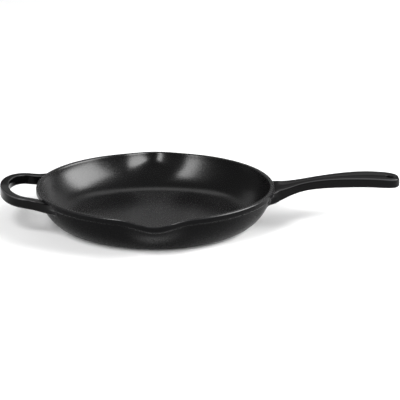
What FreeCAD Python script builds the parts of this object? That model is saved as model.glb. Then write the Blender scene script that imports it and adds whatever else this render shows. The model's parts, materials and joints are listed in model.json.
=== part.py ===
import FreeCAD, Part
import math
import os

# Enamelled cast iron skillet of the 26 cm class, with a long handle, a helper handle and two
# pouring spouts. Millimetres, origin at the centre of the resting face, +X along the long handle,
# +Z up, spouts on the Y axis. The real iron is one casting. It is divided here at its own features,
# and the fired enamel over it is a thin skin in separate solids.

Vector = FreeCAD.Vector

# Pan body
rim_radius = 135.0
rim_thickness = 5.0
pan_height = 43.3
lip_round = 1.6
band_height = 6.3
band_underside = 2.7
band_proud = 3.2
foot_radius = 97.9
foot_width = 14.0
foot_recess = 0.8
floor_radius = 95.0
floor_top = 4.6
outer_corner_pull = 17.4
outer_wall_pull = 14.6
outer_wall_lean = 0.153
inner_corner_pull = 17.0
inner_wall_pull = 17.5
inner_wall_lean = 0.21

# Spouts
spout_reach = 14.0
spout_drop = 3.0
spout_half_angle = 15.0
spout_fade_low = 8.0
spout_sections = 9
front_angle = -90.0
rear_angle = 90.0

# Enamel skin over the iron
enamel = 0.4

# Long handle, as heights and half widths along X
handle_root = 118.0
handle_tip = 277.0
handle_top = [(handle_root, 41.6), (138, 42.3), (151, 44.0), (172, 48.5), (199, 52.5), (239, 54.5),
              (handle_tip, 51.4)]
handle_bottom = [(handle_root, 21.5), (138, 27.9), (151, 32.7), (172, 38.4), (199, 41.3), (239, 43.3),
                 (handle_tip, 41.0)]
handle_half_widths = [(handle_root, 30.0), (131, 23.2), (145, 17.0), (158, 11.9), (173, 9.4), (192, 10.2),
                      (224, 14.3)]
handle_root_splay = 0.62
handle_end_half_width = 15.8
handle_edge_round = 3.6
eye_radius = 4.5
eye_setback = 11.0
eye_edge_round = 1.5

# Helper handle, a bar bent in a bow that tilts up away from the pan
helper_reach = 176.0
helper_bow_centre = 145.0
helper_half_width = 52.3
helper_bar = 10.0
helper_depth = 11.4
helper_edge_round = 3.4
helper_level = 37.3
helper_tilt = 7.5
helper_splay_radius = 38.0
helper_splay_angle = 35.0
helper_arm = 32.0

# Space larger than the whole pan, for cutting
far = 400.0

band_foot = pan_height - band_height
band_seat = band_foot - band_underside
wall_top_radius = rim_radius - band_proud
inner_radius = rim_radius - rim_thickness
crest_radius = rim_radius - rim_thickness / 2.0
foot_inner_radius = foot_radius - foot_width
circle_share = 0.552


def line_poles(a, b):
    # A straight stretch written as a cubic, so that every stretch is built alike.
    return [tuple(a[i] + (b[i] - a[i]) * k / 3.0 for i in (0, 1)) for k in range(4)]


def outside_stretches():
    # The gloss surface in section as (radius, height), from the foot up to the crest of the lip.
    lip_low = pan_height - lip_round
    lip_out = rim_radius - lip_round
    pull = lip_round * circle_share
    tuck = band_underside * 0.5
    wall = [(foot_radius, 0.0),
            (foot_radius + outer_corner_pull, 0.0),
            (wall_top_radius - outer_wall_lean * outer_wall_pull, band_seat - outer_wall_pull),
            (wall_top_radius, band_seat)]
    band_under = [(wall_top_radius, band_seat),
                  (wall_top_radius + outer_wall_lean * tuck, band_seat + tuck),
                  (rim_radius, band_foot - tuck),
                  (rim_radius, band_foot)]
    band_face = line_poles((rim_radius, band_foot), (rim_radius, lip_low))
    lip = [(rim_radius, lip_low), (rim_radius, lip_low + pull),
           (lip_out + pull, pan_height), (lip_out, pan_height)]
    return [wall, band_under, band_face, lip, line_poles((lip_out, pan_height), (crest_radius, pan_height))]


def inside_stretches():
    # The satin surface in section, from the crest of the lip down to the edge of the flat floor.
    lip_low = pan_height - lip_round
    lip_in = inner_radius + lip_round
    pull = lip_round * circle_share
    lip = [(lip_in, pan_height), (lip_in - pull, pan_height),
           (inner_radius + inner_wall_lean * pull, lip_low + pull), (inner_radius, lip_low)]
    wall = [(inner_radius, lip_low),
            (inner_radius - inner_wall_lean * inner_wall_pull, lip_low - inner_wall_pull),
            (floor_radius + inner_corner_pull, floor_top),
            (floor_radius, floor_top)]
    return [line_poles((crest_radius, pan_height), (lip_in, pan_height)), lip, wall]


def bezier(poles, t):
    # Point on a cubic Bezier curve.
    u = 1.0 - t
    weights = (u**3, 3 * u * u * t, 3 * u * t * t, t**3)
    return tuple(sum(w * p[i] for w, p in zip(weights, poles)) for i in (0, 1))


def spout_shift(point, weight):
    # Moves a section point out and down where a spout is, fading to nothing low on the wall.
    share = min(1.0, max(0.0, (point[1] - spout_fade_low) / (band_foot - spout_fade_low)))
    fade = share * share * (3.0 - 2.0 * share) * weight
    return point[0] + spout_reach * fade, point[1] - spout_drop * fade


def stretch_points(poles, weight, skin, count=11):
    # Points along one stretch, shifted for the spout and set in by skin along the normal.
    step = 1e-4
    points = []
    for i in range(count):
        t = i / (count - 1.0)
        here = spout_shift(bezier(poles, t), weight)
        back = spout_shift(bezier(poles, t - step), weight)
        ahead = spout_shift(bezier(poles, t + step), weight)
        along = (ahead[0] - back[0], ahead[1] - back[1])
        length = math.hypot(*along)
        points.append((here[0] - skin * along[1] / length, here[1] + skin * along[0] / length))
    return points


def place(point, angle):
    # A section point turned to an angle about the pan's axis, in degrees.
    a = math.radians(angle)
    return Vector(point[0] * math.cos(a), point[0] * math.sin(a), point[1])


def chain_edges(stretches, weight, skin, angle, reverse=False):
    # One smooth edge for each stretch, sharing end points.
    runs = [stretch_points(s, weight, skin) for s in stretches]
    for before, after in zip(runs, runs[1:]):
        after[0] = before[-1]
    if reverse:
        runs = [run[::-1] for run in runs[::-1]]
    edges = []
    for run in runs:
        curve = Part.BSplineCurve()
        curve.interpolate([place(p, angle) for p in run])
        edges.append(curve.toShape())
    return edges


def first_point(edges):
    return edges[0].firstVertex().Point


def last_point(edges):
    return edges[-1].lastVertex().Point


def straight(a, b):
    return Part.LineSegment(a, b).toShape()


def iron_section(angle, weight):
    # The iron wall from the floor's edge over the lip and back, as a closed wire.
    up = chain_edges(outside_stretches(), weight, enamel, angle)
    down = chain_edges(inside_stretches(), weight, enamel, angle)
    low_out = place((floor_radius, enamel), angle)
    return Part.Wire([straight(low_out, first_point(up))] + up + down + [straight(last_point(down), low_out)])


def skin_section(stretches, angle, weight):
    # One enamel thickness over the given stretches, as a closed wire.
    face = chain_edges(stretches, weight, 0.0, angle)
    back = chain_edges(stretches, weight, enamel, angle, reverse=True)
    turn = straight(last_point(face), first_point(back))
    close = straight(last_point(back), first_point(face))
    return Part.Wire(face + [turn] + back + [close])


def outer_enamel_section(angle, weight):
    return skin_section(outside_stretches(), angle, weight)


def inner_enamel_section(angle, weight):
    return skin_section(inside_stretches(), angle, weight)


def full_turn(face):
    return face.revolve(Vector(0, 0, 0), Vector(0, 0, 1), 360)


def slab(low, high):
    # All space between two heights.
    return Part.makeBox(2 * far, 2 * far, high - low, Vector(-far, -far, low))


def sector(centre, low):
    # A wedge of space that holds one spout, from low upwards.
    corners = [Vector(0, 0, low)]
    corners += [place((far, low), centre + side * spout_half_angle) for side in (-1, 1)]
    return Part.Face(Part.makePolygon(corners + corners[:1])).extrude(Vector(0, 0, far))


def plain_ring(section):
    # A full turn of a section, with room cut out for both spouts.
    body = full_turn(Part.Face(section(0.0, 0.0)))
    for centre in (front_angle, rear_angle):
        body = body.cut(sector(centre, spout_fade_low))
    return body


def spout_wedge(section, centre):
    # A sector of the wall that swells into the spout and back, as one loft.
    wires = []
    for i in range(spout_sections):
        share = 2.0 * i / (spout_sections - 1.0) - 1.0
        weight = 0.5 * (1.0 + math.cos(math.pi * share))
        wires.append(section(centre + share * spout_half_angle, weight))
    return Part.makeLoft(wires, True, False).common(slab(spout_fade_low, far))


def filled_pan(skin):
    # The pan as a filled block, for trimming the handles' roots to its outside.
    up = chain_edges(outside_stretches(), 0.0, skin, 0.0)
    foot = Vector(0, 0, skin)
    top = Vector(0, 0, last_point(up).z)
    inner = [straight(last_point(up), top), straight(top, foot)]
    return full_turn(Part.Face(Part.Wire([straight(foot, first_point(up))] + up + inner)))


def disc(outline):
    # A full turn of an outline given as (radius, height) corners.
    corners = [Vector(r, 0, z) for r, z in outline]
    return full_turn(Part.Face(Part.makePolygon(corners + corners[:1])))


def casting_floor():
    under = enamel + foot_recess
    top = floor_top - enamel
    step_radius = foot_inner_radius - foot_recess
    return disc([(0, under), (step_radius, under), (foot_inner_radius, enamel), (floor_radius, enamel),
                 (floor_radius, top), (0, top)])


def base_enamel():
    under = enamel + foot_recess
    step_radius = foot_inner_radius - foot_recess
    return disc([(0, foot_recess), (step_radius, foot_recess), (foot_inner_radius, 0), (foot_radius, 0),
                 (foot_radius, enamel), (foot_inner_radius, enamel), (step_radius, under), (0, under)])


def cooking_floor_enamel():
    low = floor_top - enamel
    return disc([(0, low), (floor_radius, low), (floor_radius, floor_top), (0, floor_top)])


def smooth(points):
    curve = Part.BSplineCurve()
    curve.interpolate(points)
    return curve.toShape()


def handle_side(skin):
    # The handle seen from the side, pushed through its whole width.
    upper = smooth([Vector(x, -far, z - skin) for x, z in handle_top])
    lower = smooth([Vector(x, -far, z + skin) for x, z in reversed(handle_bottom)])
    tip = straight(upper.lastVertex().Point, lower.firstVertex().Point)
    root = straight(lower.lastVertex().Point, upper.firstVertex().Point)
    return Part.Face(Part.Wire([upper, tip, lower, root])).extrude(Vector(0, 2 * far, 0))


def handle_plan(skin):
    # The handle seen from above, with a round end, pushed through its whole height.
    end_radius = handle_end_half_width - skin
    shoulder = handle_tip - handle_end_half_width
    curve = Part.BSplineCurve()
    flank = [Vector(x, y - skin, 0) for x, y in handle_half_widths] + [Vector(shoulder, end_radius, 0)]
    splay = Vector(1, -handle_root_splay, 0)
    curve.interpolate(Points=flank, InitialTangent=splay, FinalTangent=Vector(1, 0, 0))
    near = curve.toShape()
    away = near.mirror(Vector(0, 0, 0), Vector(0, 1, 0))
    nose = Part.Arc(Vector(shoulder, end_radius, 0), Vector(handle_tip - skin, 0, 0),
                    Vector(shoulder, -end_radius, 0)).toShape()
    root_half_width = handle_half_widths[0][1] - skin
    root = straight(Vector(handle_root, -root_half_width, 0), Vector(handle_root, root_half_width, 0))
    return Part.Face(Part.Wire(Part.sortEdges([near, nose, away, root])[0])).extrude(Vector(0, 0, far))


def long_handle_blank(skin):
    # The long handle with rounded edges and its hanging eye, its root not yet trimmed.
    blank = handle_side(skin).common(handle_plan(skin)).Solids[0]
    long_edges = []
    for edge in blank.Edges:
        box = edge.BoundBox
        upright = box.XLength < 0.5 and box.YLength < 0.5
        if box.XMax > handle_root + 1.0 and box.XLength > 1.0 and not upright:
            long_edges.append(edge)
    blank = blank.makeFillet(handle_edge_round - skin, long_edges)
    eye_x = handle_tip - eye_setback
    blank = blank.cut(Part.makeCylinder(eye_radius + skin, far, Vector(eye_x, 0, 0)))
    mouths = []
    for edge in blank.Edges:
        box = edge.BoundBox
        if abs(box.Center.x - eye_x) < 1.0 and eye_radius < box.XLength < 2.5 * eye_radius:
            mouths.append(edge)
    return blank.makeFillet(eye_edge_round, mouths)


def helper_path():
    # The middle line of the bar: half an oval, then on each side a splayed arc and a straight arm.
    depth = helper_reach - helper_bar / 2.0 - helper_bow_centre
    half_width = helper_half_width - helper_bar / 2.0
    centre = Vector(-helper_bow_centre, 0, helper_level)
    oval = Part.Ellipse(centre + Vector(0, half_width, 0), centre - Vector(depth, 0, 0), centre)
    edges = [Part.ArcOfEllipse(oval, 0, math.pi).toShape()]
    turn = math.radians(helper_splay_angle)
    for side in (1, -1):
        points = []
        for share in (0.0, 0.5, 1.0):
            along = helper_splay_radius * math.sin(share * turn)
            out = helper_splay_radius * (1.0 - math.cos(share * turn))
            points.append(centre + Vector(along, side * (half_width + out), 0))
        heading = Vector(math.cos(turn), side * math.sin(turn), 0)
        edges += [Part.Arc(*points).toShape(), straight(points[-1], points[-1] + heading * helper_arm)]
    return Part.Wire(Part.sortEdges(edges)[0])


def rounded_rectangle(centre, side, half_width, half_height, corner):
    # A closed wire of four lines and four arcs across a path.
    up = Vector(0, 0, 1)
    arcs = []
    for s, u in ((1, 1), (-1, 1), (-1, -1), (1, -1)):
        middle = centre + side * (s * (half_width - corner)) + up * (u * (half_height - corner))
        flank, cap = side * s, up * u
        begin, end = (flank, cap) if s * u > 0 else (cap, flank)
        diagonal = (flank + cap).normalize()
        arcs.append(Part.Arc(middle + begin * corner, middle + diagonal * corner, middle + end * corner))
    edges = []
    for arc, following in zip(arcs, arcs[1:] + arcs[:1]):
        edges.append(arc.toShape())
        edges.append(straight(arc.EndPoint, following.StartPoint))
    return Part.Wire(edges)


def helper_handle_blank(skin):
    # The bar with rounded edges, swept along its path and tilted, its roots not yet trimmed.
    path = helper_path()
    start = path.OrderedEdges[0]
    if start.Orientation == "Reversed":
        origin, along = start.valueAt(start.LastParameter), start.tangentAt(start.LastParameter) * -1
    else:
        origin, along = start.valueAt(start.FirstParameter), start.tangentAt(start.FirstParameter)
    side = along.cross(Vector(0, 0, 1)).normalize()
    section = rounded_rectangle(origin, side, helper_bar / 2.0 - skin, helper_depth / 2.0 - skin,
                                helper_edge_round - skin)
    bar = path.makePipeShell([section], True, True)
    bar.rotate(Vector(-helper_bow_centre, 0, helper_level), Vector(0, 1, 0), helper_tilt)
    return bar


def build():
    # Every node's shape, by name.
    iron_ring = plain_ring(iron_section)
    rim_arcs = sorted(iron_ring.common(slab(band_seat, far)).Solids, key=lambda arc: arc.CenterOfMass.x)
    nodes = {
        "casting_floor": casting_floor(),
        "casting_wall": iron_ring.common(slab(-far, band_seat)),
        "casting_helper_side_rim": rim_arcs[0],
        "casting_handle_side_rim": rim_arcs[1],
        "base_enamel": base_enamel(),
        "cooking_floor_enamel": cooking_floor_enamel(),
        "cooking_wall_enamel": plain_ring(inner_enamel_section),
    }
    for side, centre in (("front", front_angle), ("rear", rear_angle)):
        nodes["casting_" + side + "_spout"] = spout_wedge(iron_section, centre)
        nodes[side + "_spout_inside_enamel"] = spout_wedge(inner_enamel_section, centre)
        nodes[side + "_spout_outside_enamel"] = spout_wedge(outer_enamel_section, centre)
    outside_enamel = plain_ring(outer_enamel_section)
    iron_block = filled_pan(enamel)
    coated_block = filled_pan(0.0)
    for name, blank in (("long_handle", long_handle_blank), ("helper_handle", helper_handle_blank)):
        iron = blank(enamel)
        nodes["casting_" + name] = iron.cut(iron_block)
        nodes[name + "_enamel"] = blank(0.0).cut(iron).cut(coated_block)
        outside_enamel = outside_enamel.cut(iron)
    nodes["outside_wall_enamel"] = outside_enamel
    return nodes


def main():
    os.makedirs("parts", exist_ok=True)
    for name, shape in build().items():
        solids = shape.Solids
        kept = solids[0] if len(solids) == 1 else Part.makeCompound(solids)
        state = "valid" if kept.isValid() else "NOT VALID"
        print(name, len(solids), "solid(s),", state, round(kept.Volume), "mm3")
        kept.exportStep(os.path.join("parts", name + ".step"))


main()
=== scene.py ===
import bpy
import bmesh
import json
import math
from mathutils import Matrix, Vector

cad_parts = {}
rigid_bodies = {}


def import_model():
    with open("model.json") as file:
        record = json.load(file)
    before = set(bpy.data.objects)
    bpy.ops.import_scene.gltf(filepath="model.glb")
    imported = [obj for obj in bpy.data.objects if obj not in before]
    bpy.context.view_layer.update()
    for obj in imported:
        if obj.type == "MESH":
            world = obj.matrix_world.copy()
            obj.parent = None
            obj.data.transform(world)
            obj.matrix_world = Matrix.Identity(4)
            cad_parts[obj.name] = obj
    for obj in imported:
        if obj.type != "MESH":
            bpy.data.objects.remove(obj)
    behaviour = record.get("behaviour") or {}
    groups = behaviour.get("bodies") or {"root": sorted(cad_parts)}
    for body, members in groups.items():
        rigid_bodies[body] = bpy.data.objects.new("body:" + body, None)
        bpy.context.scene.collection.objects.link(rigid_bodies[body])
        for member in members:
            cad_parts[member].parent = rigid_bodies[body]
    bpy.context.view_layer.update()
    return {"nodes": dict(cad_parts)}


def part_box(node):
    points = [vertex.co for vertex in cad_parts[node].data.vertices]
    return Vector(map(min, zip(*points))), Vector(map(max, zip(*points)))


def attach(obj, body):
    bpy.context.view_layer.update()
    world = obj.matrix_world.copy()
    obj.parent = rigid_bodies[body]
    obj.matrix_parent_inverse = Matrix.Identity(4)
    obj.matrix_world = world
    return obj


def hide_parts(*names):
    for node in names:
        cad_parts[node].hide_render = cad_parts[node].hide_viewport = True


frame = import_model()
print("frame loaded:", len(frame["nodes"]), "CAD nodes")

mm = 0.001  # sizes in the settings of the pan and its handles are in millimetres, and angles in degrees
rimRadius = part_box("outside_wall_enamel")[1].x
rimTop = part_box("outside_wall_enamel")[1].z
spoutTip = -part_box("front_spout_outside_enamel")[0].y
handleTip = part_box("long_handle_enamel")[1].x

# the finishes, in the order of the material slots on the uncut skin. what gets no slot of its own stays
# in the first
finishNames = ("satinInside", "wallOutside", "baseUnder", "longHandle", "helperHandle")
wallSlot, baseSlot, longSlot, helperSlot = range(1, 5)


# small helpers for working in edit mode
def freshMesh():
    return bmesh.from_edit_mesh(bpy.context.object.data)


def showMesh():
    bmesh.update_edit_mesh(bpy.context.object.data)


def dropSelection():
    bpy.ops.mesh.select_all(action="DESELECT")


def chosenCorners():
    return [v.co.copy() for v in freshMesh().verts if v.select]


def middleOf(points):
    return sum(points, Vector()) / len(points)


def boxOfChosen():
    corners = chosenCorners()
    low = Vector([min(c[i] for c in corners) for i in range(3)])
    high = Vector([max(c[i] for c in corners) for i in range(3)])
    return low, high


def pickVerts(test):
    # selects the vertices whose place passes the test
    bpy.ops.mesh.select_mode(type="VERT")
    dropSelection()
    mesh = freshMesh()
    count = 0
    for v in mesh.verts:
        if test(v.co):
            v.select = True
            count += 1
    mesh.select_flush_mode()
    showMesh()
    return count


def pickFaces(test):
    # selects the faces whose middle passes the test
    bpy.ops.mesh.select_mode(type="FACE")
    dropSelection()
    mesh = freshMesh()
    count = 0
    for f in mesh.faces:
        if test(f.calc_center_median(), f):
            f.select = True
            count += 1
    mesh.select_flush_mode()
    showMesh()
    return count


def reselect(indices):
    bpy.ops.mesh.select_mode(type="VERT")
    dropSelection()
    mesh = freshMesh()
    mesh.verts.ensure_lookup_table()
    for i in indices:
        mesh.verts[i].select = True
    mesh.select_flush_mode()
    showMesh()


def openEdges():
    bpy.ops.mesh.select_mode(type="EDGE")
    bpy.ops.mesh.select_non_manifold(extend=False, use_wire=False, use_boundary=True,
                                     use_multi_face=False, use_non_contiguous=False, use_verts=False)
    return len([e for e in freshMesh().edges if e.select])


def slide(offset):
    bpy.ops.transform.translate(value=offset)


def stretch(scale, centre):
    bpy.ops.transform.resize(value=scale, center_override=centre)


def turn(degrees, centre):
    # with no window the rotate operator turns the other way
    bpy.ops.transform.rotate(value=-math.radians(degrees), orient_axis="Z", center_override=centre)


def extrudeOn(offset):
    bpy.ops.mesh.extrude_region_move(TRANSFORM_OT_translate={"value": offset})


def angleOf(p):
    return math.degrees(math.atan2(p.y, p.x))


def facesOut(middle, face):
    return face.normal.dot(Vector((middle.x, middle.y, 0))) > 0


def giveSlot(number):
    bpy.context.object.active_material_index = number
    bpy.ops.object.material_slot_assign()


def takeUp(part):
    bpy.ops.object.select_all(action="DESELECT")
    part.select_set(True)
    bpy.context.view_layer.objects.active = part


# the pan's section, drawn as rings from the middle of the base round to the middle of the floor
panSettings = {
    "segments": 96,
    "poleRadius": 22,
    # distance in from the rim's outside, and height
    "baseRings": [(70, 0.8), (55.5, 0.8), (52.6, 0.75), (51.2, 0.05), (49.5, 0), (43, 0), (38.6, 0)],
    "wallRings": [(36.2, 0.04), (32.0, 0.55), (27.1, 2.1), (22.5, 4.6), (18.3, 7.8), (14.5, 11.6),
                  (11.1, 15.8), (8.2, 20.4), (5.9, 25.1), (4.2, 29.8), (3.2, 34.0)],
    "bandRings": [(2.7, 35.3), (0.15, 36.6), (0, 38.2), (0, 40.3)],
    "lipRings": [(0, 42.3), (0.8, 43.35), (2.5, 43.42), (4.2, 43.35), (5.0, 42.2), (5.3, 40.6)],
    "cookingRings": [(6.4, 36.4), (8.4, 31.1), (11.0, 26.0), (14.0, 21.1), (17.5, 16.6), (21.4, 12.6),
                     (25.6, 9.5), (30.4, 7.2), (36.0, 5.65), (42.5, 4.9), (52, 4.65), (75, 4.6)],
    # the line of lip that a spout is pulled by
    "gripWidth": 0.5,
    "gripInward": 6,
    "gripDown": 7,
    "spoutSize": 40,  # how far from the grip the pull still shows
    "spoutStretch": 1.45,
    "spoutDrop": 3.2,
    "spoutExtra": 1.03,  # smoothing takes a little of the reach back
}


def makePanCage(p):
    bpy.ops.object.select_all(action="DESELECT")
    radius, height = p["poleRadius"] * mm, p["baseRings"][0][1] * mm
    bpy.ops.mesh.primitive_circle_add(vertices=p["segments"], radius=radius, fill_type="TRIFAN",
                                      location=(0, 0, height))
    pan = bpy.context.object
    pan.name = "panCage"
    bpy.ops.object.transform_apply(location=True)
    for name in finishNames:
        pan.data.materials.append(bpy.data.materials.new(name))
    bpy.ops.object.mode_set(mode="EDIT")
    pickVerts(lambda c: c.to_2d().length > radius / 2)
    rings = p["baseRings"] + p["wallRings"] + p["bandRings"] + p["lipRings"] + p["cookingRings"]
    rings = [(rimRadius - inward * mm, up * mm) for inward, up in rings]
    rings.append((p["poleRadius"] * mm, p["cookingRings"][-1][1] * mm))
    for nextRadius, nextHeight in rings:
        extrudeOn((0, 0, nextHeight - height))
        stretch((nextRadius / radius, nextRadius / radius, 1), (0, 0, nextHeight))
        radius, height = nextRadius, nextHeight
    extrudeOn((0, 0, 0))
    bpy.ops.mesh.merge(type="CENTER")
    bpy.ops.mesh.select_all(action="SELECT")
    bpy.ops.mesh.normals_make_consistent(inside=False)
    return pan


def pullSpouts(p):
    # both spouts are pulled out of the lip with a soft falloff. the pan stands tall meanwhile, so that they
    # fade early below it
    tall = p["spoutStretch"]
    bpy.ops.mesh.select_all(action="SELECT")
    stretch((1, 1, tall), (0, 0, rimTop))
    reach = (spoutTip - rimRadius) * p["spoutExtra"]
    for side in (-1, 1):
        gripped = pickVerts(lambda c: abs(c.x) < p["gripWidth"] * mm
                            and c.y * side > rimRadius - p["gripInward"] * mm
                            and c.z > rimTop - p["gripDown"] * tall * mm)
        bpy.ops.transform.translate(value=(0, side * reach, -p["spoutDrop"] * tall * mm),
                                    use_proportional_edit=True, proportional_edit_falloff="SMOOTH",
                                    proportional_size=p["spoutSize"] * mm)
        print("spout pulled from", gripped, "vertices")
    bpy.ops.mesh.select_all(action="SELECT")
    stretch((1, 1, 1 / tall), (0, 0, rimTop))


panCage = makePanCage(panSettings)
pullSpouts(panSettings)
print("pan cage shaped:", len(freshMesh().verts), "vertices")


# long handle, drawn out of the wall
handleSettings = {
    "rootAngle": 11.3,
    "rootLow": 25.0,
    "rootHigh": 40.4,
    # place along the handle, half width, underside and top
    "sections": [(136.2, 22.8, 26.4, 41.5), (139.5, 19.6, 28.2, 42.3), (145, 17.1, 30.2, 43.0),
                 (151, 14.6, 32.6, 44.0), (158, 12.0, 34.9, 45.6), (165, 10.1, 36.8, 47.2),
                 (173, 9.5, 38.6, 48.8), (185, 9.8, 40.2, 50.8), (199, 11.1, 41.4, 52.6),
                 (219, 14.1, 42.8, 54.2), (239, 15.9, 43.3, 54.6), (252, 16.1, 42.8, 54.0),
                 (260.5, 16.0, 42.2, 53.3), (266, 15.2, 41.9, 52.8), (271, 13.2, 41.6, 52.3),
                 (274.6, 9.6, 41.8, 51.7), (276.8, 5.6, 43.0, 50.4)],
    # where the lines of faces run, as shares of a section's width and height
    "acrossShares": [0, 0.12, 0.32, 0.5, 0.68, 0.88, 1],
    "uprightShares": [0, 0.27, 0.42, 0.5, 0.58, 0.73, 1],
    "dishDepth": 0.8,
    "dishHalfWidth": 0.5,  # a share of the handle's
    "dishSections": (2, -2),  # it starts and ends just before these
    "dishLead": 0.1,
    "dishSlack": 0.3,  # how far off the top a corner may lie and still count
    "eyeSetback": 11.0,
    "eyeSpan": 5.6,
    "eyeRim": 7.2,
    "eyeRadius": 5.0,
    "eyeMouth": 1.5,
    "eyeLevel": 0.7,  # faces whose normals lean more than this from upright are left alone
}
halfWidthColumn, topColumn = 1, 3
acrossAxis, uprightAxis = 1, 2
lineGaps = {acrossAxis: 2, uprightAxis: 0.4}  # corners nearer to each other than this are on one line


def spaceLines(axis, shares):
    # moves whole lines of the flat cap along an axis, to the given shares of its size
    cap = sorted((v.co[axis], v.index) for v in freshMesh().verts if v.select)
    lines = [[cap[0]]]
    for place, index in cap[1:]:
        if place - lines[-1][-1][0] > lineGaps[axis] * mm:
            lines.append([])
        lines[-1].append((place, index))
    low, high = cap[0][0], cap[-1][0]
    flat = [1, 1, 1]
    flat[axis] = 0
    for line, share in zip(lines, shares):
        reselect([index for place, index in line])
        middle = middleOf(chosenCorners())
        stretch(flat, middle)
        offset = [0, 0, 0]
        offset[axis] = low + (high - low) * share - middle[axis]
        slide(offset)
    reselect([index for place, index in cap])
    return len(lines)


def fitCap(number, halfWidth, halfHeight, middle):
    # gives the chosen cap its size. the first one is also pressed flat
    low, high = boxOfChosen()
    size = high - low
    stretch((0 if number == 0 else 1, 2 * halfWidth * mm / size.y, 2 * halfHeight * mm / size.z), middle)


def spaceCap(h):
    # the first cap gets its lines of faces spaced, and the later ones are drawn out of it
    return spaceLines(acrossAxis, h["acrossShares"]), spaceLines(uprightAxis, h["uprightShares"])


def drawLongHandle(h):
    found = pickFaces(lambda c, f: c.x > 0 and abs(angleOf(c)) < h["rootAngle"]
                      and h["rootLow"] * mm < c.z < h["rootHigh"] * mm and facesOut(c, f))
    for number, (x, halfWidth, low, high) in enumerate(h["sections"]):
        extrudeOn((0, 0, 0))
        boxLow, boxHigh = boxOfChosen()
        middle = (boxLow + boxHigh) / 2
        fitCap(number, halfWidth, (high - low) / 2, middle)
        slide(Vector((x * mm, 0, (low + high) / 2 * mm)) - middle)
        if number == 0:
            print("handle root:", found, "faces, lines:", spaceCap(h))
    for section in h["sections"]:
        bpy.ops.mesh.select_more()
    giveSlot(longSlot)


def along(stations, x, column):
    # the value that a column of the sections has at a place between two of them
    for near, far in zip(stations, stations[1:]):
        if near[0] * mm <= x <= far[0] * mm:
            share = (x / mm - near[0]) / (far[0] - near[0])
            return (near[column] + (far[column] - near[column]) * share) * mm
    return 0


def dishHandleTop(h):
    # the top lies a little lower along its middle
    stations = h["sections"]
    start, finish = [(stations[number][0] - h["dishLead"]) * mm for number in h["dishSections"]]
    count = pickVerts(lambda c: start < c.x < finish
                      and abs(c.y) < along(stations, c.x, halfWidthColumn) * h["dishHalfWidth"]
                      and abs(c.z - along(stations, c.x, topColumn)) < h["dishSlack"] * mm)
    slide((0, 0, -h["dishDepth"] * mm))
    print("handle dished from", count, "corners")


def roundLoop(radius):
    # makes the chosen loop a circle of the given radius, in place
    bpy.ops.transform.tosphere(value=1.0)
    corners = chosenCorners()
    middle = middleOf(corners)
    now = sum((c - middle).to_2d().length for c in corners) / len(corners)
    stretch((radius / now, radius / now, 1), middle)


def boreEye(h):
    # the top and the underside are opened and rounded, and the two mouths are bridged through the handle
    eyeX = handleTip - h["eyeSetback"] * mm
    span = h["eyeSpan"] * mm
    for side in (1, -1):
        pickFaces(lambda c, f: abs(c.x - eyeX) < span and abs(c.y) < span
                  and f.normal.z * side > h["eyeLevel"])
        bpy.ops.mesh.delete(type="FACE")
        print("eye edges:", openEdges())
        bpy.ops.mesh.select_mode(type="VERT")
        roundLoop(h["eyeRim"] * mm)
        middle = middleOf(chosenCorners())
        slide((eyeX - middle.x, -middle.y, 0))
        middle = middleOf(chosenCorners())
        extrudeOn((0, 0, 0))
        stretch((h["eyeRadius"] / h["eyeRim"],) * 2 + (1,), middle)
        extrudeOn((0, 0, -side * h["eyeMouth"] * mm))
        bpy.ops.mesh.hide(unselected=False)
    bpy.ops.mesh.reveal()
    openEdges()
    bpy.ops.mesh.bridge_edge_loops(number_cuts=1)
    giveSlot(longSlot)


drawLongHandle(handleSettings)
dishHandleTop(handleSettings)
boreEye(handleSettings)
print("long handle drawn")


# helper handle, a bar drawn round in a bow from one side of the wall and bridged to the other
helperSettings = {
    "rootAngle": 26.25,
    "rootSpread": 7.6,
    "rootLow": 29.7,
    "rootHigh": 40.4,
    "bowCentre": 145,
    "bowDepth": 26,
    "bowHalfWidth": 47.3,
    "barHalfWidth": 5.0,
    "barHalfHeight": 5.7,
    "level": 37.3,
    "tilt": 7.5,
    # middle, lean towards the gap, half width and half height of the sections in the splayed arm
    "armSections": [(122.9, 54.9, -22.6, 8.9, 5.9), (126.4, 52.5, -8.9, 6.6, 5.75),
                    (131.5, 49.9, 20, 5.1, 5.7), (138.0, 48.0, 12, 5.0, 5.7)],
    "bowAngles": [0, 16, 32, 48, 63, 77, 90, 103, 117, 132, 148, 164, 180],
    "acrossShares": [0, 0.27, 0.5, 0.73, 1],
    "uprightShares": [0, 0.27, 0.42, 0.58, 0.73, 1],
    # how the bar's last cap is known: within this reach and depth of its middle, and facing ahead
    "capReach": 12,
    "capDepth": 0.2,
    "capLevel": 0.95,
}


def helperStations(h):
    # each section of the bar, from the near wall round to the far one: middle, heading, half width and
    # half height
    stations = []
    for x, y, lean, halfWidth, halfHeight in h["armSections"]:
        stations.append((-x, -y, 180 - lean, halfWidth, halfHeight))
    for angle in h["bowAngles"]:
        outward = h["bowDepth"] * math.sin(math.radians(angle))
        sideways = h["bowHalfWidth"] * math.cos(math.radians(angle))
        heading = math.degrees(math.atan2(h["bowHalfWidth"] * math.sin(math.radians(angle)),
                                          -h["bowDepth"] * math.cos(math.radians(angle))))
        stations.append((-h["bowCentre"] - outward, -sideways, heading,
                         h["barHalfWidth"], h["barHalfHeight"]))
    for x, y, lean, halfWidth, halfHeight in reversed(h["armSections"]):
        stations.append((-x, y, lean, halfWidth, halfHeight))
    return stations


def pickHelperRoot(h, side):
    # the patch of wall that one end of the bar grows from
    def offAngle(c):
        return abs(180 - abs(angleOf(c)) - h["rootAngle"])

    return pickFaces(lambda c, f: c.x < 0 and c.y * side > 0 and offAngle(c) < h["rootSpread"]
                     and h["rootLow"] * mm < c.z < h["rootHigh"] * mm and facesOut(c, f))


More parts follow.
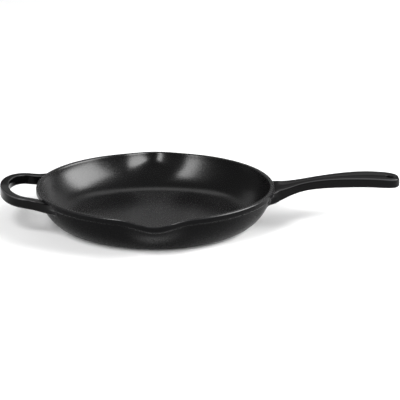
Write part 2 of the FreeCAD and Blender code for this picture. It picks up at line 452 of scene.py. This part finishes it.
def drawHelperHandle(h):
    found = pickHelperRoot(h, 1)
    bpy.ops.mesh.delete(type="FACE")
    pickHelperRoot(h, -1)
    heading = 180 + h["rootAngle"]
    stations = helperStations(h)
    for number, (x, y, nextHeading, halfWidth, halfHeight) in enumerate(stations):
        extrudeOn((0, 0, 0))
        low, high = boxOfChosen()
        middle = (low + high) / 2
        # the cap is turned square, sized, and turned to its new heading
        turn(180 - heading, middle)
        fitCap(number, halfWidth, halfHeight, middle)
        if number == 0:
            spaceCap(h)
        turn(nextHeading - 180, middle)
        heading = nextHeading
        low, high = boxOfChosen()
        height = h["level"] - (x + h["bowCentre"]) * math.tan(math.radians(h["tilt"]))
        slide(Vector((x * mm, y * mm, height * mm)) - (low + high) / 2)
    for station in stations:
        bpy.ops.mesh.select_more()
    giveSlot(helperSlot)
    # the last cap is opened, and so is the wall behind it, and they are bridged
    end = Vector((x * mm, y * mm))
    ahead = Vector((math.cos(math.radians(heading)), math.sin(math.radians(heading))))
    pickFaces(lambda c, f: (c.to_2d() - end).length < h["capReach"] * mm
              and abs((c.to_2d() - end).dot(ahead)) < h["capDepth"] * mm
              and f.normal.to_2d().dot(ahead) > h["capLevel"])
    bpy.ops.mesh.delete(type="FACE")
    print("helper root:", found, "faces, open edges", openEdges())
    bpy.ops.mesh.bridge_edge_loops(number_cuts=0)
    giveSlot(helperSlot)


drawHelperHandle(helperSettings)
print("helper handle drawn")


# one skin over the whole casting: it is smoothed, then parted into its finishes
finishSettings = {
    "levels": 2,
    "baseEdge": 37.4,
    "baseTop": 3.0,
    "lipLow": 41.4,
    # a face of the wall leans outwards or downwards at least this much
    "wallLean": 0.3,
    "underLean": 0.05,
    "skinThickness": 1.2,
    "normalReach": 0.3,
}


def markFinishes(p):
    def isBase(c, f):
        inward = c.to_2d().length < rimRadius - p["baseEdge"] * mm
        return inward and f.normal.z < 0 and c.z < p["baseTop"] * mm

    def isWall(c, f):
        outward = f.normal.dot(Vector((c.x, c.y, 0)).normalized()) > p["wallLean"]
        return (f.material_index not in (longSlot, helperSlot) and c.z < p["lipLow"] * mm
                and (outward or f.normal.z < -p["underLean"]) and not isBase(c, f))

    print("base faces:", pickFaces(isBase))
    giveSlot(baseSlot)
    print("wall faces:", pickFaces(isWall))
    giveSlot(wallSlot)


def finishOf(part):
    # a parted piece may keep all the slots or only its own
    slots = part.data.materials
    return slots[min(part.data.polygons[0].material_index, len(slots) - 1)].name


def partSkin(cage, p):
    smooth = cage.modifiers.new("smooth", "SUBSURF")
    smooth.levels = smooth.render_levels = p["levels"]
    bpy.ops.object.modifier_apply(modifier="smooth")
    bpy.ops.object.shade_smooth()
    bpy.ops.object.duplicate()
    whole = bpy.context.object
    whole.name = "wholeSkin"
    takeUp(cage)
    bpy.ops.object.mode_set(mode="EDIT")
    bpy.ops.mesh.select_all(action="SELECT")
    bpy.ops.mesh.separate(type="MATERIAL")
    bpy.ops.object.mode_set(mode="OBJECT")
    parts = {finishOf(part): part for part in bpy.context.selected_objects}
    for name, part in parts.items():
        part.name = name
        print("part", name, len(part.data.polygons), "faces")
    return whole, parts


def thicken(part, p):
    # the sheet grows inwards to a closed shell
    shell = part.modifiers.new("shell", "SOLIDIFY")
    shell.thickness = p["skinThickness"] * mm
    shell.offset = -1
    bpy.ops.object.modifier_apply(modifier="shell")


def capEnds():
    # a handle is closed where it meets the wall
    bpy.ops.object.mode_set(mode="EDIT")
    openEdges()
    bpy.ops.mesh.fill()
    bpy.ops.object.mode_set(mode="OBJECT")


def keepNormals(part, whole, p):
    # the parts keep the whole skin's normals, so that no seam shows between them
    carry = part.modifiers.new("carry", "DATA_TRANSFER")
    carry.object = whole
    carry.use_loop_data = True
    carry.data_types_loops = {"CUSTOM_NORMAL"}
    carry.loop_mapping = "POLYINTERP_NEAREST"
    carry.use_max_distance = True
    carry.max_distance = p["normalReach"] * mm
    bpy.ops.object.modifier_apply(modifier="carry")


markFinishes(finishSettings)
bpy.ops.object.mode_set(mode="OBJECT")
wholeSkin, skinParts = partSkin(panCage, finishSettings)
for name, part in skinParts.items():
    takeUp(part)
    if "Handle" in name:
        capEnds()
    else:
        thicken(part, finishSettings)
    keepNormals(part, wholeSkin, finishSettings)
bpy.data.objects.remove(wholeSkin)
print("skin parted")


# sockets of a Mix node, which share their names. numbers first, then colours
firstNumber, secondNumber, mixedNumber = 2, 3, 0
firstColor, secondColor, mixedColor = 6, 7, 2


def newGroup(name, inputs, outputs):
    group = bpy.data.node_groups.new(name, "ShaderNodeTree")
    for label, kind, value in inputs:
        socket = group.interface.new_socket(label, in_out="INPUT", socket_type=kind)
        socket.default_value = value
    for label, kind in outputs:
        group.interface.new_socket(label, in_out="OUTPUT", socket_type=kind)
    start = group.nodes.new("NodeGroupInput")
    end = group.nodes.new("NodeGroupOutput")
    return group, start, end


def addNode(tree, kind, settings=None, values=None):
    node = tree.nodes.new(kind)
    for key, value in (settings or {}).items():
        setattr(node, key, value)
    for key, value in (values or {}).items():
        node.inputs[key].default_value = value
    return node


def makeEnamelGrain():
    # the fine pebbled surface of fired enamel, with the slow wave of the sand casting under it
    group, start, end = newGroup("enamelGrain", [
        ("Vector", "NodeSocketVector", (0, 0, 0)),
        ("Grain Size", "NodeSocketFloat", 900.0),
        ("Wave Size", "NodeSocketFloat", 90.0),
        ("Wave Share", "NodeSocketFloat", 0.5),
    ], [("Height", "NodeSocketFloat"), ("Fleck", "NodeSocketFloat")])
    link = group.links.new
    grain = addNode(group, "ShaderNodeTexNoise", values={"Detail": 2.0, "Roughness": 0.55})
    wave = addNode(group, "ShaderNodeTexNoise", values={"Detail": 1.0, "Roughness": 0.4})
    link(start.outputs["Vector"], grain.inputs["Vector"])
    link(start.outputs["Grain Size"], grain.inputs["Scale"])
    link(start.outputs["Vector"], wave.inputs["Vector"])
    link(start.outputs["Wave Size"], wave.inputs["Scale"])
    both = addNode(group, "ShaderNodeMix", {"data_type": "FLOAT"})
    link(start.outputs["Wave Share"], both.inputs["Factor"])
    link(grain.outputs["Fac"], both.inputs[firstNumber])
    link(wave.outputs["Fac"], both.inputs[secondNumber])
    link(both.outputs[mixedNumber], end.inputs["Height"])
    fleck = addNode(group, "ShaderNodeTexVoronoi", {"feature": "F1"}, {"Randomness": 1.0})
    link(start.outputs["Vector"], fleck.inputs["Vector"])
    link(start.outputs["Grain Size"], fleck.inputs["Scale"])
    spread = addNode(group, "ShaderNodeMapRange",
                     values={"From Min": 0.05, "From Max": 0.45, "To Min": 1.0, "To Max": 0.0})
    link(fleck.outputs["Distance"], spread.inputs["Value"])
    link(spread.outputs["Result"], end.inputs["Fleck"])
    return group


def makeThinEdgeAndHighlight():
    # enamel runs thin over sharp edges, where it looks a little greyer, and the lighter edge colour is also
    # a painted highlight along convex edges
    group, start, end = newGroup("thinEdgeAndHighlight", [
        ("Start", "NodeSocketFloat", 0.512),
        ("Finish", "NodeSocketFloat", 0.54),
    ], [("Mask", "NodeSocketFloat")])
    link = group.links.new
    place = addNode(group, "ShaderNodeNewGeometry")
    spread = addNode(group, "ShaderNodeMapRange", {"interpolation_type": "SMOOTHSTEP"})
    link(place.outputs["Pointiness"], spread.inputs["Value"])
    link(start.outputs["Start"], spread.inputs["From Min"])
    link(start.outputs["Finish"], spread.inputs["From Max"])
    # the rims where two parts meet are sharper than any real edge, and they are left out
    meeting = addNode(group, "ShaderNodeMapRange",
                      values={"From Min": 0.545, "From Max": 0.57, "To Min": 1.0, "To Max": 0.0})
    link(place.outputs["Pointiness"], meeting.inputs["Value"])
    both = addNode(group, "ShaderNodeMath", {"operation": "MULTIPLY"})
    link(spread.outputs["Result"], both.inputs[0])
    link(meeting.outputs["Result"], both.inputs[1])
    link(both.outputs["Value"], end.inputs["Mask"])
    return group


def makeLightDust():
    # a thin broken film that lies on what faces up
    group, start, end = newGroup("lightDust", [
        ("Vector", "NodeSocketVector", (0, 0, 0)),
        ("Amount", "NodeSocketFloat", 0.1),
    ], [("Mask", "NodeSocketFloat")])
    link = group.links.new
    place = addNode(group, "ShaderNodeNewGeometry")
    parts = addNode(group, "ShaderNodeSeparateXYZ")
    link(place.outputs["Normal"], parts.inputs["Vector"])
    upward = addNode(group, "ShaderNodeMapRange", values={"From Min": 0.3, "From Max": 1.0})
    link(parts.outputs["Z"], upward.inputs["Value"])
    cloud = addNode(group, "ShaderNodeTexNoise", values={"Scale": 24.0, "Detail": 5.0, "Roughness": 0.6})
    link(start.outputs["Vector"], cloud.inputs["Vector"])
    patch = addNode(group, "ShaderNodeMapRange", values={"From Min": 0.42, "From Max": 0.75})
    link(cloud.outputs["Fac"], patch.inputs["Value"])
    film = addNode(group, "ShaderNodeMath", {"operation": "MULTIPLY"})
    link(upward.outputs["Result"], film.inputs[0])
    link(patch.outputs["Result"], film.inputs[1])
    share = addNode(group, "ShaderNodeMath", {"operation": "MULTIPLY"})
    link(film.outputs["Value"], share.inputs[0])
    link(start.outputs["Amount"], share.inputs[1])
    link(share.outputs["Value"], end.inputs["Mask"])
    return group


enamelGrain = makeEnamelGrain()
thinEdgeAndHighlight = makeThinEdgeAndHighlight()
lightDust = makeLightDust()

enamelSettings = {
    # the edge colour on sharp edges is partly thin enamel and partly a painted highlight
    "satinEnamel": {
        "color": (0.003, 0.003, 0.0031, 1), "edge": (0.02, 0.02, 0.021, 1), "dusty": (0.03, 0.03, 0.03, 1),
        "roughness": (0.25, 0.33), "specular": 0.36, "grain": 620.0, "wave": 110.0, "share": 0.2,
        "bump": 0.15, "height": 0.0004, "dust": 0.03,
    },
    "glossEnamel": {
        "color": (0.002, 0.002, 0.0021, 1), "edge": (0.06, 0.06, 0.061, 1), "dusty": (0.02, 0.02, 0.02, 1),
        "roughness": (0.09, 0.15), "specular": 0.08, "grain": 420.0, "wave": 70.0, "share": 0.6,
        "bump": 0.10, "height": 0.0005, "dust": 0.03,
    },
    "wallEnamel": {
        "color": (0.004, 0.004, 0.0042, 1), "edge": (0.02, 0.02, 0.021, 1), "dusty": (0.02, 0.02, 0.02, 1),
        "roughness": (0.26, 0.36), "specular": 0.03, "grain": 420.0, "wave": 60.0, "share": 0.45,
        "bump": 0.15, "height": 0.0005, "dust": 0.03,
    },
    "baseEnamel": {
        "color": (0.010, 0.010, 0.0105, 1), "edge": (0.05, 0.047, 0.043, 1), "dusty": (0.03, 0.03, 0.03, 1),
        "roughness": (0.38, 0.5), "specular": 0.4, "grain": 700.0, "wave": 60.0, "share": 0.45,
        "bump": 0.2, "height": 0.0005, "dust": 0.0,
    },
}


def makeEnamel(name, e):
    material = bpy.data.materials.new(name)
    material.use_nodes = True
    tree = material.node_tree
    link = tree.links.new
    shader = tree.nodes["Principled BSDF"]
    shader.inputs["Specular IOR Level"].default_value = e["specular"]
    place = addNode(tree, "ShaderNodeTexCoord")
    grain = addNode(tree, "ShaderNodeGroup", {"node_tree": enamelGrain},
                    {"Grain Size": e["grain"], "Wave Size": e["wave"], "Wave Share": e["share"]})
    link(place.outputs["Object"], grain.inputs["Vector"])
    # the edge mask lightens sharp edges: partly thin enamel, partly a painted highlight
    edge = addNode(tree, "ShaderNodeGroup", {"node_tree": thinEdgeAndHighlight})
    dust = addNode(tree, "ShaderNodeGroup", {"node_tree": lightDust}, {"Amount": e["dust"]})
    link(place.outputs["Object"], dust.inputs["Vector"])
    edged = addNode(tree, "ShaderNodeMix", {"data_type": "RGBA"})
    edged.inputs[firstColor].default_value = e["color"]
    edged.inputs[secondColor].default_value = e["edge"]
    link(edge.outputs["Mask"], edged.inputs["Factor"])
    dusted = addNode(tree, "ShaderNodeMix", {"data_type": "RGBA"})
    dusted.inputs[secondColor].default_value = e["dusty"]
    link(dust.outputs["Mask"], dusted.inputs["Factor"])
    link(edged.outputs[mixedColor], dusted.inputs[firstColor])
    link(dusted.outputs[mixedColor], shader.inputs["Base Color"])
    smoothest, roughest = e["roughness"]
    rough = addNode(tree, "ShaderNodeMapRange", values={"To Min": smoothest, "To Max": roughest})
    link(grain.outputs["Fleck"], rough.inputs["Value"])
    link(rough.outputs["Result"], shader.inputs["Roughness"])
    bump = addNode(tree, "ShaderNodeBump", values={"Strength": e["bump"], "Distance": e["height"]})
    link(grain.outputs["Height"], bump.inputs["Height"])
    link(bump.outputs["Normal"], shader.inputs["Normal"])
    return material


enamels = {name: makeEnamel(name, e) for name, e in enamelSettings.items()}
print("enamels mixed")


# for each finish: the part's name, its enamel, the record's slot for it, and the CAD solids it stands for
dressing = {
    "satinInside": ("cookingSurface", "satinEnamel", "satin_black_enamel",
                    ("casting_floor", "cooking_floor_enamel", "cooking_wall_enamel",
                     "casting_helper_side_rim", "casting_handle_side_rim",
                     "front_spout_inside_enamel", "rear_spout_inside_enamel")),
    "wallOutside": ("outsideWall", "wallEnamel", "gloss_black_enamel",
                    ("casting_wall", "outside_wall_enamel", "casting_front_spout", "casting_rear_spout",
                     "front_spout_outside_enamel", "rear_spout_outside_enamel")),
    "baseUnder": ("baseRing", "baseEnamel", "base_black_enamel", ("base_enamel",)),
    "longHandle": ("longHandle", "glossEnamel", "gloss_black_enamel",
                   ("casting_long_handle", "long_handle_enamel")),
    "helperHandle": ("helperHandle", "glossEnamel", "gloss_black_enamel",
                     ("casting_helper_handle", "helper_handle_enamel")),
}
for finish, (name, enamel, slotName, nodes) in dressing.items():
    part = skinParts[finish]
    part.name = name
    part.data.materials.clear()
    part.data.materials.append(enamels[enamel])
    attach(part, "root")
    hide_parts(*nodes)
print("parts dressed:", len(dressing))


# the room: a pale floor, soft lamps and the camera
roomSettings = {
    "floorSize": 12.0,
    "floorColor": (0.9, 0.9, 0.9, 1),
    "floorRoughness": 0.9,
    "floorSpecular": 0.1,
    "skyColor": (1, 1, 1, 1),
    "skyStrength": 0.12,
    # name, azimuth and elevation of the lamp seen from the pan, distance, width, height, power
    "lamps": [("lampRight", 87, 27, 2.6, 2.1, 1.85, 145),
              ("lampLeft", -37, 35, 2.6, 0.95, 2.4, 92),
              ("lampBack", 180, 28, 3.0, 6.0, 1.0, 8),
              ("lampTop", 180, 53, 2.0, 1.8, 0.6, 4)],
    "target": (0.0508, 0.0, 0.0251),
    "cameraAzimuth": -0.9,
    "cameraElevation": 17.129,
    "cameraDistance": 2.8,
    "lens": 221.85,
    "sensor": 36.0,
}


def directionTo(azimuth, elevation):
    # azimuth 0 is in front of the pan, 90 on the side of the long handle
    a, e = math.radians(azimuth), math.radians(elevation)
    return Vector((math.sin(a) * math.cos(e), -math.cos(a) * math.cos(e), math.sin(e)))


def layFloor(r):
    bpy.ops.object.select_all(action="DESELECT")
    bpy.ops.mesh.primitive_plane_add(size=r["floorSize"], location=(0, 0, 0))
    floor = bpy.context.object
    floor.name = "floor"
    paper = bpy.data.materials.new("paleFloor")
    paper.use_nodes = True
    shader = paper.node_tree.nodes["Principled BSDF"]
    shader.inputs["Base Color"].default_value = r["floorColor"]
    shader.inputs["Roughness"].default_value = r["floorRoughness"]
    shader.inputs["Specular IOR Level"].default_value = r["floorSpecular"]
    floor.data.materials.append(paper)


def faceBack(thing, way):
    # turns a lamp or camera that stands out along the way to look back down it
    thing.rotation_euler = (-way).to_track_quat("-Z", "Y").to_euler()


def lightRoom(r):
    sky = bpy.data.worlds.new("sky")
    sky.use_nodes = True
    background = sky.node_tree.nodes["Background"]
    background.inputs["Color"].default_value = r["skyColor"]
    background.inputs["Strength"].default_value = r["skyStrength"]
    bpy.context.scene.world = sky
    target = Vector(r["target"])
    for name, azimuth, elevation, distance, width, height, power in r["lamps"]:
        way = directionTo(azimuth, elevation)
        bpy.ops.object.light_add(type="AREA", location=target + way * distance)
        lamp = bpy.context.object
        lamp.name = name
        faceBack(lamp, way)
        lamp.data.shape = "RECTANGLE"
        lamp.data.size = width
        lamp.data.size_y = height
        lamp.data.energy = power


def placeCamera(r):
    target = Vector(r["target"])
    way = directionTo(r["cameraAzimuth"], r["cameraElevation"])
    bpy.ops.object.camera_add(location=target + way * r["cameraDistance"])
    camera = bpy.context.object
    faceBack(camera, way)
    camera.data.lens = r["lens"]
    camera.data.sensor_width = r["sensor"]
    bpy.context.scene.camera = camera
    bpy.context.scene.view_settings.view_transform = "Standard"


layFloor(roomSettings)
lightRoom(roomSettings)
placeCamera(roomSettings)
print("room lit")
